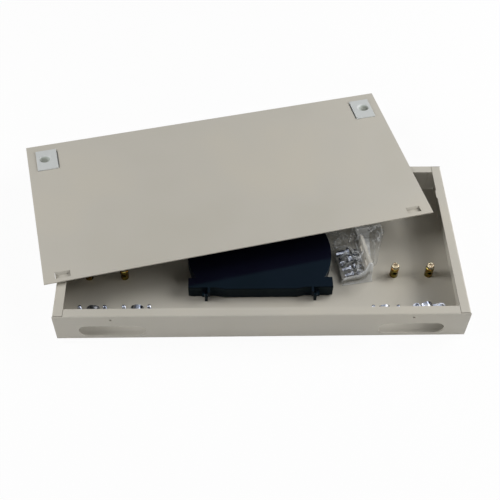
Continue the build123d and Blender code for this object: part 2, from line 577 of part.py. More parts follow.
# ---------------------------------------------------------------- bag of fixings
def rack_ear(nest):
    """Angle bracket lying on its foot flange, its rack flange upright on the right; nest counts from outside."""
    inset = nest * (EAR_SHEET + EAR_NEST)
    x0, x1 = -EAR_FOOT / 2 - inset, EAR_FOOT / 2 - inset
    low = FILM + inset
    half = EAR_HEIGHT / 2
    ear = block(x0, x1, -half, half, low, low + EAR_SHEET)
    ear += block(x1 - EAR_SHEET, x1, -half, half, low, low + EAR_FACE)
    ear = fillet(ear.edges().filter_by(Axis.Y).sort_by(lambda e: e.center().X - e.center().Z)[-1], EAR_BEND)
    for side in (-1, 1):
        foot_hole = (x0 + FOOT_HOLE_SETBACK, side * EAR_HOLE_SPACING / 2)
        ear -= upright(EAR_HOLE_R, *foot_hole, low - 1, low + EAR_SHEET + 1)
        slot = Pos(side * half / 2, low + EAR_FACE * RACK_SLOT_UP) * SlotOverall(RACK_SLOT_LENGTH, RACK_SLOT_WIDTH)
        ear -= Pos(x1, 0, 0) * extrude(Plane.YZ * slot, 2 * EAR_SHEET, both=True)
    return PACK_PLACE * ear


def bag_section(grow):
    """Section of the packed bag: low over the flat flanges, high over the upright ones."""
    left = -EAR_FOOT / 2 - EAR_SHEET - BAG_SIDE - grow
    right = EAR_FOOT / 2 + BAG_SIDE / 2 + grow
    base = FILM / 2 - grow
    top = FILM + EAR_FACE + EAR_SHEET + EAR_NEST + BAG_TOP_ROOM + grow
    shoulder = EAR_FOOT / 2 - 2 * EAR_SHEET - BAG_SIDE - grow
    return make_face(Polyline(
        (left, base), (right, base), (right, top), (shoulder, top), (shoulder - BAG_SLOPE, BAG_LOW + grow),
        (left + BAG_SLOPE, BAG_LOW + grow), (left, BAG_EDGE + grow), close=True))


def accessory_bag():
    """Clear film bag: a hollow skin round the ears, with its empty end behind and a film flap beside it."""
    half = EAR_HEIGHT / 2
    front, back = -half - BAG_FRONT, half + BAG_SIDE
    skin = FILM / 2
    outer = Pos(0, front - skin, 0) * extrude(Plane.XZ * bag_section(skin), -(back - front + 2 * skin))
    inner = Pos(0, front + skin, 0) * extrude(Plane.XZ * bag_section(-skin), -(back - front - 2 * skin))
    left = -EAR_FOOT / 2 - EAR_SHEET - BAG_SIDE
    right = EAR_FOOT / 2 + BAG_SIDE / 2
    empty = block(left, right, back, half + BAG_BACK, 0, BAG_EMPTY)
    outline = Polyline(
        (right, -half * 0.5), (right + FLAP_CORNER, -half * 0.1), (right + FLAP_MIDDLE, half),
        (right + FLAP_REACH, half + 22), (right + FLAP_REACH, half + 38), (right + FLAP_CORNER, half + BAG_BACK),
        (right, half + BAG_BACK), close=True)
    flap = extrude(make_face(outline), FLAP_THICK)
    bag = outer + empty + flap - inner
    return PACK_PLACE * bag


def machine_screw(size, place):
    """Pan-head screw that lies along its own X, its head at the far end."""
    length, shank_r, head_r, head_height = size
    end = length + head_height
    shank = along_x(shank_r, 0, length, 0, 0)
    head = along_x(head_r, length, end, 0, 0)
    head = fillet(head.faces().sort_by(Axis.X)[-1].edges(), 0.45 * head_height)
    arm = block(end - CROSS_DEPTH, end + 1, -0.55 * head_r, 0.55 * head_r, -CROSS_WIDTH / 2, CROSS_WIDTH / 2)
    cross = arm + Rot(90, 0, 0) * arm
    return PACK_PLACE * place * (shank + head - cross)


def lying(size, x, y, turn):
    """Place of a screw that leans on its head's rim and its shank's tip, on the ears' flat flange."""
    length, shank_r, head_r, _ = size
    lean = degrees(asin((head_r - shank_r) / length))
    return Pos(x, y, EAR_FLOOR + SCREW_SEAT + shank_r) * Rot(0, 0, turn) * Rot(0, -lean, 0)


def ear_screws():
    places = ((-12.4, 8.0, -90), (-14.0, -7.6, 0), (8.0, -6.0, 180), (-13.0, -15.9, 0))
    return [machine_screw(EAR_SCREW, lying(EAR_SCREW, *place)) for place in places]


def rack_screws():
    places = ((-15.6, 14.4, 0), (9.0, 3.8, 180))
    return [machine_screw(RACK_SCREW, lying(RACK_SCREW, *place)) for place in places]


def spare_nuts():
    nut = flange_nut(0, 0, EAR_FLOOR + SCREW_SEAT)
    return [PACK_PLACE * Pos(x, y, 0) * Rot(0, 0, turn) * nut for x, y, turn in ((5.0, -14.2, 10), (5.4, 14.6, 35))]


# ---------------------------------------------------------------- nodes
def all_nodes():
    side_plate = right_side_plate()
    slide, keeper = right_latch_slide(), right_latch_keeper()
    nodes = {
        "base_pan": base_pan(),
        "left_side_plate": mirrored(side_plate),
        "right_side_plate": side_plate,
        "cover_plate": cover_plate(),
        "left_latch_slide": COVER_PLACE * mirrored(slide),
        "right_latch_slide": COVER_PLACE * slide,
        "left_latch_keeper": COVER_PLACE * mirrored(keeper),
        "right_latch_keeper": COVER_PLACE * keeper,
        "clamp_studs": clamp_studs(),
        "clamp_nuts": clamp_nuts(),
        "splice_tray_base": splice_tray_base(),
        "splice_tray_leaf": splice_tray_leaf(),
        "splice_tray_lid": splice_tray_lid(),
        "tray_hinge_pins": tray_hinge_pins(),
        "lower_splice_holder": splice_holder(TRAY_BOTTOM + TRAY_FLOOR),
        "upper_splice_holder": splice_holder(LEAF_BOTTOM + TRAY_FLOOR),
        "tray_studs": tray_studs(),
        "tray_nuts": tray_nuts(),
        "accessory_bag": accessory_bag(),
        "left_rack_ear": rack_ear(0),
        "right_rack_ear": rack_ear(1),
        "ear_screws": ear_screws(),
        "rack_screws": rack_screws(),
        "spare_nuts": spare_nuts(),
    }
    for number, x in enumerate(POST_XS, 1):
        nodes[f"wire_post_{number}"] = wire_post(x)
        nodes[f"wire_post_screw_{number}"] = wire_post_screw(x)
    for index in range(len(CLAMP_XS)):
        nodes[f"clamp_saddle_{index + 1}"] = clamp_saddle(index)
    return nodes


os.makedirs("parts", exist_ok=True)
for name, shape in all_nodes().items():
    solids = [s for item in (shape if isinstance(shape, list) else [shape]) for s in item.solids()]
    body = solids[0] if len(solids) == 1 else Compound(children=solids)
    export_step(body, f"parts/{name}.step")
    print(name, len(solids), round(sum(s.volume for s in solids), 1))
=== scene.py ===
import json
import math

import bmesh
import bpy
import numpy as np
from mathutils import Matrix, Vector

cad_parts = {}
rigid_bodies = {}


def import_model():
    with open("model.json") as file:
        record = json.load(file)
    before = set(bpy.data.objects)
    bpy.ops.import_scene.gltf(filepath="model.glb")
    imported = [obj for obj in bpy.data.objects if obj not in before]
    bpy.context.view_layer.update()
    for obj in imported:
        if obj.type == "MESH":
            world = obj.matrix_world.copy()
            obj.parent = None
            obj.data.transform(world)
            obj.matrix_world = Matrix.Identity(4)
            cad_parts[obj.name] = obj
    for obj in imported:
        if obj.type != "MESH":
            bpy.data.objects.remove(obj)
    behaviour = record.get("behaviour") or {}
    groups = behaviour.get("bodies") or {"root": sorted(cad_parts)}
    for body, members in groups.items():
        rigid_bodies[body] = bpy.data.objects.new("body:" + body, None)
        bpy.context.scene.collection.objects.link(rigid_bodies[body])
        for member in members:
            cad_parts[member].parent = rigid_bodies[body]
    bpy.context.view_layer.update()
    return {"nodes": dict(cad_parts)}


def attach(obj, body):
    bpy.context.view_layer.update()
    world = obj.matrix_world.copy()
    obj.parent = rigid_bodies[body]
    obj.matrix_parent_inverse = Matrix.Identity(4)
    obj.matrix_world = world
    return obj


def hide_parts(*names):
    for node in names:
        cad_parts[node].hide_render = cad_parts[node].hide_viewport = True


for leftover in list(bpy.data.objects):
    bpy.data.objects.remove(leftover)

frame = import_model()
node = frame["nodes"]

# ---------------------------------------------------------------- base pan
# Floor, front wall and back wall are one sheet of 1.2 mm steel: punched with the cable
# slots, then folded up, with a narrow rim folded inward. It is powder coated a warm
# grey-beige, which leaves a satin skin with a very fine pebble.


def screen_colour(red, green, blue):
    """Shader colour of a tone given as it looks on a screen, 0 to 255 a channel.
    The sRGB curve is taken off each channel."""
    tone = np.array([red, green, blue]) / 255
    linear = np.where(tone <= 0.04045, tone / 12.92, ((tone + 0.055) / 1.055) ** 2.4)
    return (*linear.tolist(), 1.0)


def new_finish(name, roughness, metallic=0.0):
    """A material with one Principled shader, and that shader, with its even values set on its own sockets."""
    finish = bpy.data.materials.new(name)
    finish.use_nodes = True
    shader = finish.node_tree.nodes["Principled BSDF"]
    shader.inputs["Roughness"].default_value = roughness
    shader.inputs["Metallic"].default_value = metallic
    return finish, shader


def grain(finish, size, detail=2.0, stretch=(1.0, 1.0, 1.0)):
    """Noise value on the object's coordinates, in blotches about `size` metres across.
    They are longer along an axis whose stretch is over 1."""
    nodes, links = finish.node_tree.nodes, finish.node_tree.links
    place = nodes.new("ShaderNodeTexCoord")
    fit = nodes.new("ShaderNodeMapping")
    fit.inputs["Scale"].default_value = [1.0 / (size * s) for s in stretch]
    noise = nodes.new("ShaderNodeTexNoise")
    noise.inputs["Scale"].default_value = 1.0
    noise.inputs["Detail"].default_value = detail
    links.new(place.outputs["Object"], fit.inputs["Vector"])
    links.new(fit.outputs["Vector"], noise.inputs["Vector"])
    return noise.outputs["Fac"]


def tinted_by(finish, value, colours, span=(0.3, 0.7)):
    """Colour that runs through the given ones, evenly spaced, as the value crosses the span."""
    ramp = finish.node_tree.nodes.new("ShaderNodeValToRGB")
    steps = np.linspace(span[0], span[1], len(colours))
    while len(ramp.color_ramp.elements) < len(colours):
        ramp.color_ramp.elements.new(0.5)
    for element, step, colour in zip(ramp.color_ramp.elements, steps, colours):
        element.position, element.color = step, colour
    finish.node_tree.links.new(value, ramp.inputs["Fac"])
    return ramp.outputs["Color"]


def ranged(finish, value, low, high, span=(0.3, 0.7)):
    """The value's span stretched to run from low to high, and held there outside it."""
    fit = finish.node_tree.nodes.new("ShaderNodeMapRange")
    for socket, number in zip(("From Min", "From Max", "To Min", "To Max"), (*span, low, high)):
        fit.inputs[socket].default_value = number
    finish.node_tree.links.new(value, fit.inputs["Value"])
    return fit.outputs["Result"]


def raised_by(finish, shader, value, height, strength=1.0):
    """Tilts the shading as if the surface stood up by `height` metres where the value is 1."""
    bump = finish.node_tree.nodes.new("ShaderNodeBump")
    bump.inputs["Distance"].default_value = height
    bump.inputs["Strength"].default_value = strength
    finish.node_tree.links.new(value, bump.inputs["Height"])
    finish.node_tree.links.new(bump.outputs["Normal"], shader.inputs["Normal"])


COAT_SHINE = 0.22
COAT_ROUGHNESS = (0.48, 0.58)
TONE_PATCH, GLOSS_PATCH, PEBBLE = 0.11, 0.018, 0.0012
PEBBLE_HEIGHT = 0.00006


def powder_coat(name, tone):
    """Satin powder coat: the tone drifts in hand-sized patches and the gloss in smaller ones, over a pebble."""
    finish, shader = new_finish(name, 0.5)
    shader.inputs["Specular IOR Level"].default_value = COAT_SHINE
    red, green, blue = tone
    colour = tinted_by(finish, grain(finish, TONE_PATCH), [
        screen_colour(red - 3, green - 3, blue - 4),
        screen_colour(red, green, blue),
        screen_colour(red + 3, green + 2, blue)])
    gloss = ranged(finish, grain(finish, GLOSS_PATCH, 3.0), *COAT_ROUGHNESS)
    links = finish.node_tree.links
    links.new(colour, shader.inputs["Base Color"])
    links.new(gloss, shader.inputs["Roughness"])
    raised_by(finish, shader, grain(finish, PEBBLE, 3.0), PEBBLE_HEIGHT, 0.35)
    return finish


def dress(finish, *names):
    """Gives CAD nodes a finish in all their material slots."""
    for name in names:
        for place in node[name].material_slots:
            place.material = finish


beige_coat = powder_coat("beige_powder_coat", (192, 188, 178))
dress(beige_coat, "base_pan")

# ---------------------------------------------------------------- side plates
# Two strips of the same sheet, each folded inward along its top, spot welded to the pan
# through narrow tabs and coated with it. An open seam stays at each front corner.

dress(beige_coat, "left_side_plate", "right_side_plate")

# ---------------------------------------------------------------- clamp studs
# Eight M4 studs are welded upright on the floor, two for each cable clamp. They are
# steel with a rolled thread, bright zinc plated.

STUD_ROOT = 0.00165
THREAD_PITCH = 0.0007
ROD_SIDES = 26
ROWS_PER_TURN = 9
# tones of the zinc: the dark one is a painted reflection of dark surroundings, and the bright one is the zinc's
# own grey
ZINC_AND_REFLECTION_TONES = ((74, 80, 94), (142, 148, 162), (210, 212, 218))
ZINC_ROUGHNESS = (0.12, 0.26)
ZINC_CLOUD = 0.004


def bright_zinc_plate():
    """Bright zinc: a mirror-like blue-grey metal whose gloss and tone change in small cloudy patches. The dark
    patches are a painted reflection of dark surroundings, and the bright ones are the zinc's own grey.
    """
    finish, shader = new_finish("bright_zinc", 0.25, 1.0)
    cloud = grain(finish, ZINC_CLOUD, 3.0)
    colour = tinted_by(finish, cloud, [screen_colour(*tone) for tone in ZINC_AND_REFLECTION_TONES])
    gloss = ranged(finish, cloud, *ZINC_ROUGHNESS)
    finish.node_tree.links.new(colour, shader.inputs["Base Color"])
    finish.node_tree.links.new(gloss, shader.inputs["Roughness"])
    raised_by(finish, shader, grain(finish, 0.0009, 2.0), 0.00004, 0.4)
    return finish


def solids_along(name, axis=0, gap=0.003):
    """Boxes of a node's separate solids.
    Its vertices are put in order along an axis and split wherever the next is a gap away."""
    mesh = node[name].data
    points = np.empty(len(mesh.vertices) * 3, np.float32)
    mesh.vertices.foreach_get("co", points)
    points = points.reshape(-1, 3)
    points = points[np.argsort(points[:, axis])]
    cuts = np.nonzero(np.diff(points[:, axis]) > gap)[0] + 1
    return [(part.min(0).astype(float), part.max(0).astype(float)) for part in np.split(points, cuts)]


def threaded_rod(bottom, top, root, crest, pitch):
    """Grid of a thread's skin, with rows up the rod and columns round it. The radius swings from root to
    crest as a triangle wave of height / pitch less angle / full turn. It eases to the root at both ends,
    where a row on the axis closes the skin."""
    length = top - bottom
    heights = np.linspace(0, length, int(ROWS_PER_TURN * length / pitch))
    angles = np.arange(ROD_SIDES) * 2 * np.pi / ROD_SIDES
    height, angle = np.meshgrid(heights, angles, indexing="ij")
    wave = np.abs(((height / pitch - angle / (2 * np.pi)) % 1) * 2 - 1)
    ease = np.clip(np.minimum(height, length - height) / pitch, 0, 1)
    radius = root + (crest - root) * wave * ease
    radius[0] = radius[-1] = 0
    height[1], height[-2] = 0, length
    return np.stack([radius * np.cos(angle), radius * np.sin(angle), bottom + height], -1)


def grid_faces(rows, columns, ring):
    """Corner numbers of the faces between neighbouring grid points. On a ring the last column joins the
    first."""
    strips = columns if ring else columns - 1
    row, column = np.meshgrid(np.arange(rows - 1), np.arange(strips), indexing="ij")
    after = (column + 1) % columns
    here, next_row = row * columns, (row + 1) * columns
    corners = [here + column, here + after, next_row + after, next_row + column]
    return np.stack(corners, -1).reshape(-1, 4)


def skin_piece(name, grids, finish, body, ring=True, marks=None):
    """One piece from grids of points in metres: their faces in one mesh, meeting points merged and faces
    turned outwards. Marks are an attribute's name and its value at each grid point, for the finish."""
    points, faces, count = [], [], 0
    for grid in grids:
        points.append(grid.reshape(-1, 3))
        faces.append(grid_faces(*grid.shape[:2], ring) + count)
        count += points[-1].shape[0]
    mesh = bpy.data.meshes.new(name)
    mesh.from_pydata(np.concatenate(points).tolist(), [], np.concatenate(faces).tolist())
    if marks:
        mark_name, values = marks
        attribute = mesh.attributes.new(mark_name, "FLOAT", "POINT")
        attribute.data.foreach_set("value", values.ravel().astype(np.float32))
    work = bmesh.new()
    work.from_mesh(mesh)
    bmesh.ops.remove_doubles(work, verts=work.verts, dist=1e-6)
    bmesh.ops.recalc_face_normals(work, faces=work.faces)
    work.to_mesh(mesh)
    work.free()
    mesh.shade_smooth()
    mesh.materials.append(finish)
    piece = bpy.data.objects.new(name, mesh)
    bpy.context.scene.collection.objects.link(piece)
    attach(piece, body)
    return piece


def rods_like(studs):
    """Grids of threaded rods in the places of a node's plain studs, each as tall and as thick as its own."""
    rods = []
    for low, high in solids_along(studs):
        rod = threaded_rod(low[2], high[2], STUD_ROOT, (high[0] - low[0]) / 2, THREAD_PITCH)
        rods.append(rod + [*(low[:2] + high[:2]) / 2, 0])
    return rods


bright_zinc = bright_zinc_plate()
threaded_studs = skin_piece(
    "threaded_clamp_studs", rods_like("clamp_studs"), bright_zinc, "chassis")
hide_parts("clamp_studs")

# ---------------------------------------------------------------- cable clamps
# Four saddles of 1.2 mm strip, pressed to an arch over the cable with a foot at each
# side, zinc plated. The rightmost one lies loose on its left stud, swung off the other.

dress(bright_zinc, "clamp_saddle_1", "clamp_saddle_2", "clamp_saddle_3", "clamp_saddle_4")

# ---------------------------------------------------------------- clamp nuts
# Zinc plated M4 nuts with a flange. Six of them hold the saddles' feet down, and the
# loose clamp's two stand high on their studs.

dress(bright_zinc, "clamp_nuts")

# ---------------------------------------------------------------- wire posts
# Four turned posts are riveted through the floor. A cross hole takes a cable's strength
# wire, which the screw from above pinches. Zinc with a yellow passivation gives them
# their brassy, faintly rainbow look.


def yellow_zinc_plate(name, tones, patch):
    """Yellow passivated zinc: its tone runs through the given ones in patches, with turning rings along Z."""
    finish, shader = new_finish(name, 0.24, 1.0)
    cloud = grain(finish, patch, 2.0, (1.0, 1.0, 0.6))
    colour = tinted_by(finish, cloud, [screen_colour(*tone) for tone in tones], (0.32, 0.68))
    finish.node_tree.links.new(colour, shader.inputs["Base Color"])
    finish.node_tree.links.new(ranged(finish, cloud, 0.2, 0.36), shader.inputs["Roughness"])
    raised_by(finish, shader, grain(finish, 0.0003, 1.0, (40.0, 40.0, 1.0)), 0.00003, 0.5)
    return finish


POST_TONES = ((58, 56, 20), (98, 92, 34), (136, 124, 60), (134, 80, 30), (84, 86, 34))
POST_PATCH = 0.005
yellow_zinc = yellow_zinc_plate("yellow_zinc", POST_TONES, POST_PATCH)
dress(yellow_zinc, "wire_post_1", "wire_post_2", "wire_post_3", "wire_post_4")

# ---------------------------------------------------------------- wire post screws
# A cross-recess screw stands in each post, brighter than the post where the thin
# passivation shows more of the zinc.

# tones of the screws: the near-black brown one is a painted dark reflection
SCREW_AND_REFLECTION_TONES = ((40, 30, 18), (214, 202, 168), (88, 36, 28), (236, 226, 196), (34, 76, 70), (100, 88, 52))
SCREW_PATCH = 0.0024
screw_zinc = yellow_zinc_plate("yellow_zinc_screws", SCREW_AND_REFLECTION_TONES, SCREW_PATCH)
dress(screw_zinc, "wire_post_screw_1", "wire_post_screw_2", "wire_post_screw_3", "wire_post_screw_4")

# ---------------------------------------------------------------- splice tray
# Base tray, hinged leaf and lid are injection moulded in a near-black navy plastic,
# smooth on the lid and with a faint mould grain in the trays.

SHINE_TINT = (0.2, 0.9, 1.0, 1.0)


def navy_plastic(name, tone, gloss, grit, shine):
    """Dark moulded plastic: the tone drifts slightly, and its weak bluish shine varies over a mould grain
    that is `grit` metres high."""
    finish, shader = new_finish(name, gloss)
    shader.inputs["Specular IOR Level"].default_value = shine
    shader.inputs["Specular Tint"].default_value = SHINE_TINT
    red, green, blue = tone
    colour = tinted_by(finish, grain(finish, 0.05), [
        screen_colour(red - 2, green - 2, blue - 3), screen_colour(red + 2, green + 3, blue + 4)])
    roughness = ranged(finish, grain(finish, 0.012, 3.0), gloss * 0.85, gloss * 1.2)
    finish.node_tree.links.new(colour, shader.inputs["Base Color"])
    finish.node_tree.links.new(roughness, shader.inputs["Roughness"])
    raised_by(finish, shader, grain(finish, 0.0008, 2.0), grit, 0.4)
    return finish


tray_navy = navy_plastic("navy_tray_plastic", (13, 15, 24), 0.42, 0.00005, 0.12)
lid_navy = navy_plastic("navy_lid_plastic", (13, 13, 25), 0.13, 0.00001, 0.08)
dress(tray_navy, "splice_tray_base", "splice_tray_leaf")
dress(lid_navy, "splice_tray_lid")

# ---------------------------------------------------------------- splice holders
# A comb of soft dark plastic is pressed into each tray, with a row of slots for the
# splice sleeves.

holder_navy = navy_plastic("navy_holder_plastic", (22, 26, 36), 0.6, 0.00006, 0.12)
dress(holder_navy, "lower_splice_holder", "upper_splice_holder")

# ---------------------------------------------------------------- tray fixings
# The hinge turns on two short steel pins, and two welded studs with flange nuts hold the
# base tray down through its spools.

dress(bright_zinc, "tray_hinge_pins", "tray_nuts")
threaded_tray_studs = skin_piece(
    "threaded_tray_studs", rods_like("tray_studs"), bright_zinc, "chassis")
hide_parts("tray_studs")

# ---------------------------------------------------------------- rack ears
# Two angles of 1.5 mm steel in the box's own coat, nested in each other as they are
# packed.

dress(beige_coat, "left_rack_ear", "right_rack_ear")

# ---------------------------------------------------------------- loose screws and nuts
# Pan-head screws and flange nuts for the ears lie on their flat flanges, inside the bag.

dress(bright_zinc, "ear_screws", "rack_screws", "spare_nuts")

# ---------------------------------------------------------------- bag of fixings
# A limp bag of clear thin film wraps the ears and their screws. It stands over the
# upright flanges, tents over the screw heads and trails off, empty and crumpled, behind
# and to the right.

BAG_X, BAG_Y, BAG_FLOOR = 0.1044, -0.0127, 0.0012
BAG_TURN = math.radians(9.5)
BAG_FRONT, BAG_END, EARS_END = -25.0, 77.8, 21.0
BAG_LEFT, BODY_RIGHT = -18.3, 16.3
# x of the top film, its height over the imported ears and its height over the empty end, in mm
BAG_PROFILE = np.array([
    (-18.3, 0.3, 0.3), (-18.0, 3.0, 2.4), (-17.0, 6.0, 5.0), (-13.5, 7.8, 7.0), (-8.0, 8.8, 7.8),
    (-1.0, 9.8, 8.0), (4.0, 11.6, 8.0), (7.8, 17.0, 7.8), (10.0, 26.0, 7.6), (10.9, 29.3, 7.4),
    (12.9, 29.5, 7.2), (14.7, 27.8, 6.8), (15.4, 26.2, 6.4), (15.5, 17.0, 6.0), (15.6, 7.0, 5.0),
    (16.2, 3.4, 4.2)])
# share of the flap's reach, and its height beside the ears and beside the empty end
FLAP_PROFILE = np.array([(0.3, 2.6, 3.6), (0.65, 2.6, 3.4), (0.93, 2.2, 2.6), (1.0, 0.3, 0.3)])
# y along the bag and how far the flap reaches there, then the flap's four stops along the film, in mm
FLAP_ALONG = (-25, -10, -2, 20, 42, 57, 78)
FLAP_REACH = (0.5, 0.9, 12.2, 22.2, 33.8, 33.8, 12.4)
FLAP_STOPS = (72, 84, 96, 103)
# the upright flange's x, between which the film is taut, in mm
FLANGE_LEFT, FLANGE_RIGHT = 7.5, 15.9
# length and size of the crumples over the bag and down its right wall, in mm
CRUMPLES = ((17, 1.6), (11, 1.2), (8, 1.0), (5.5, 0.6), (4, 0.4))
WALL_CRUMPLES = ((9, 0.5), (6, 0.4))
# x, y and top of each screw head under the film, in mm
HEADS = (
    (-12.4, -1.2, 11.8), (-4.8, -7.6, 11.8), (-1.2, -6.0, 11.8),
    (-3.8, -15.9, 11.8), (-1.9, 14.4, 14.1), (-4.7, 3.8, 14.1))
# height, half width and the run of each sharp fold, in mm
FOLDS = (
    (1.1, 1.2, ((-14.8, 23.8), (-6.1, 22.7), (0.7, 19.0))),
    (0.7, 1.0, ((-10.3, 19.6), (-0.3, 17.1))),
    (0.8, 1.0, ((-10.4, 8.5), (-5.4, 10.7), (-0.8, 6.8))),
    (1.8, 1.4, ((-0.1, 16.3), (6.3, 6.8))),
    (1.2, 1.3, ((-0.1, 5.8), (6.1, -0.1), (9.0, -0.3))),
    (0.9, 1.1, ((5.2, -4.0), (1.6, -13.0), (5.0, -20.0))),
    (1.6, 1.5, ((32.6, 27.4), (28.4, 9.8), (25.4, 0.0))),
    (1.2, 1.1, ((40.7, 41.9), (41.9, 35.9), (38.6, 30.7), (40.0, 27.6))),
    (1.8, 1.6, ((46.0, 45.2), (45.4, 38.7), (48.0, 37.0))),
    (1.2, 1.2, ((42.4, 30.0), (36.1, 19.7))),
    (1.6, 1.5, ((22.0, 48.6), (33.5, 47.4), (51.0, 50.9))),
    (1.2, 1.2, ((22.0, 41.1), (31.0, 42.7), (39.7, 47.1))),
    (0.9, 1.1, ((18.5, 33.0), (24.0, 36.0), (27.0, 42.0))))


def clear_film():
    """Clear film: nearly invisible where it is smooth, and milky along the creases that the mesh's crease value
    marks, partly the film's own crease whitening and partly a painted highlight. It also grows whiter towards
    grazing angles, a painted reflection."""
    finish, shader = new_finish("clear_film", 0.14)
    nodes, links = finish.node_tree.nodes, finish.node_tree.links
    crease = nodes.new("ShaderNodeAttribute")
    crease.attribute_name = "crease"
    rim = nodes.new("ShaderNodeLayerWeight")
    rim.inputs["Blend"].default_value = 0.35
    haze_and_painted_highlight = nodes.new("ShaderNodeMath")
    haze_and_painted_highlight.operation = "ADD"
    # painted highlight along the creases and painted reflection at grazing angles, both given as white opacity
    links.new(ranged(finish, crease.outputs["Fac"], 0.05, 0.8, (0.12, 0.9)), haze_and_painted_highlight.inputs[0])
    links.new(ranged(finish, rim.outputs["Fresnel"], 0.0, 0.22, (0.0, 1.0)), haze_and_painted_highlight.inputs[1])
    colour = tinted_by(finish, grain(finish, 0.02), [screen_colour(226, 229, 231), screen_colour(240, 241, 240)])
    links.new(colour, shader.inputs["Base Color"])
    links.new(haze_and_painted_highlight.outputs["Value"], shader.inputs["Alpha"])
    raised_by(finish, shader, grain(finish, 0.0025, 2.0), 0.00025, 0.6)
    return finish


def step_between(value, start, end):
    """Smooth step: 0 before start, 1 after end, along 3 t squared less 2 t cubed between."""
    t = np.clip((value - start) / (end - start), 0, 1)
    return t * t * (3 - 2 * t)


def crumple(x, y, waves, seed):
    """Height of a crumpled sheet: a sum of triangle waves, each across its own direction, over a plane
    that is bent by slow sines."""
    chance = np.random.default_rng(seed)
    height = np.zeros_like(x)
    bent_x = x + 2.4 * np.sin(y / 7.3 + 0.6) + 1.1 * np.sin(y / 3.1 + x / 5.0)
    bent_y = y + 2.0 * np.sin(x / 6.1 + 1.9) + 1.0 * np.sin(x / 2.7 - y / 6.0)
    for length, size in waves:
        turn, shift = chance.uniform(0, np.pi), chance.uniform(0, length)
        across = (bent_x * np.cos(turn) + bent_y * np.sin(turn) + shift) / length
        height += size * (np.abs((across % 1) * 2 - 1) - 0.5)
    return height


def fold_ridges(x, y):
    """Height of the sharp folds: over each piece of a run, the fold's height times 1 less the distance to
    the piece over its half width."""
    height = np.zeros_like(x)
    for rise, half, run in FOLDS:
        for (x0, y0), (x1, y1) in zip(run, run[1:]):
            run_x, run_y = x1 - x0, y1 - y0
            along = np.clip(((x - x0) * run_x + (y - y0) * run_y) / (run_x ** 2 + run_y ** 2), 0, 1)
            apart = np.hypot(x - x0 - along * run_x, y - y0 - along * run_y)
            height = np.maximum(height, rise * (1 - apart / half))
    return height


def bag_skin(rows, top_columns, bottom_columns):
    """Closed skin of the bag in mm. Rows run from its front seam to its open end. A row's points go over
    the top film from the left seam to the flap's edge, and back along the floor. The top film's height
    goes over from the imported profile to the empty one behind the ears, is lifted to a paraboloid over
    each screw head, and is crumpled and folded."""
    y = np.linspace(BAG_FRONT, BAG_END, rows)[:, None]
    reach = np.interp(y, FLAP_ALONG, FLAP_REACH)
    steps = np.diff(BAG_PROFILE[:, :2], axis=0, prepend=BAG_PROFILE[:1, :2])
    knots = np.concatenate([np.cumsum(np.hypot(*steps.T)), FLAP_STOPS])
    s = np.linspace(0, knots[-1], top_columns)
    body_x = np.interp(s, knots[:len(BAG_PROFILE)], BAG_PROFILE[:, 0])[None, :]
    share = np.interp(s, knots[len(BAG_PROFILE) - 1:], [0, *FLAP_PROFILE[:, 0]])[None, :]
    x = body_x + share * reach
    packed = np.interp(s, knots, [*BAG_PROFILE[:, 1], *FLAP_PROFILE[:, 1]])[None, :]
    empty = np.interp(s, knots, [*BAG_PROFILE[:, 2], *FLAP_PROFILE[:, 2]])[None, :]
    behind = step_between(y, EARS_END, EARS_END + 9)
    height = packed * (1 - behind) + empty * behind
    tents = [top - ((x - hx) ** 2 + (y - hy) ** 2) / 10 for hx, hy, top in HEADS]
    height = np.logaddexp.reduce([1.4 * height, *[1.4 * tent for tent in tents]]) / 1.4
    front_closing = step_between(y, BAG_FRONT - 0.2, BAG_FRONT + 4.4)
    closing = front_closing * step_between(-y, -BAG_END - 0.2, -BAG_END + 9)
    free = np.clip(np.minimum(x - BAG_LEFT, BODY_RIGHT + reach - x) / 4, 0, 1) * closing
    taut = (x > FLANGE_LEFT) & (x < FLANGE_RIGHT) & (y < EARS_END + 3)
    coarse = crumple(x, y, CRUMPLES, 7)
    coarse = coarse * free * np.where(taut, 0.25, 1.0) * (0.55 + 0.6 * behind)
    height = height * closing + coarse + fold_ridges(x, y) * free
    height = np.maximum(height, 0.35 * np.ones_like(height) * closing + 0.12)
    side = crumple(y + 0 * x, height, WALL_CRUMPLES, 3) * ((x > 15) & (x < 16.2))
    top = np.stack([x - 0.6 * np.clip(side, 0, 1), y + 0 * x, height], -1)
    back = np.linspace(1, 0, bottom_columns + 2)[None, 1:-1]
    low_x = BAG_LEFT + (BODY_RIGHT + reach - BAG_LEFT) * back
    bottom = np.stack([low_x, y + 0 * low_x, 0.1 + 0 * low_x], -1)
    return top, bottom


def crease_marks(top):
    """How sharply the top film bends, 0 to 1: the second differences of its height along and across it,
    averaged with their neighbours, over their usual size."""
    height = top[..., 2]
    bend = np.zeros_like(height)
    bend[1:-1] += np.abs(np.diff(height, 2, axis=0))
    bend[:, 1:-1] += np.abs(np.diff(height, 2, axis=1))
    beside = np.roll(bend, 1, 1) + np.roll(bend, -1, 1)
    spread = (bend + np.roll(bend, 1, 0) + np.roll(bend, -1, 0) + beside) / 5
    return np.clip(spread / np.percentile(spread, 96), 0, 1) ** 1.2


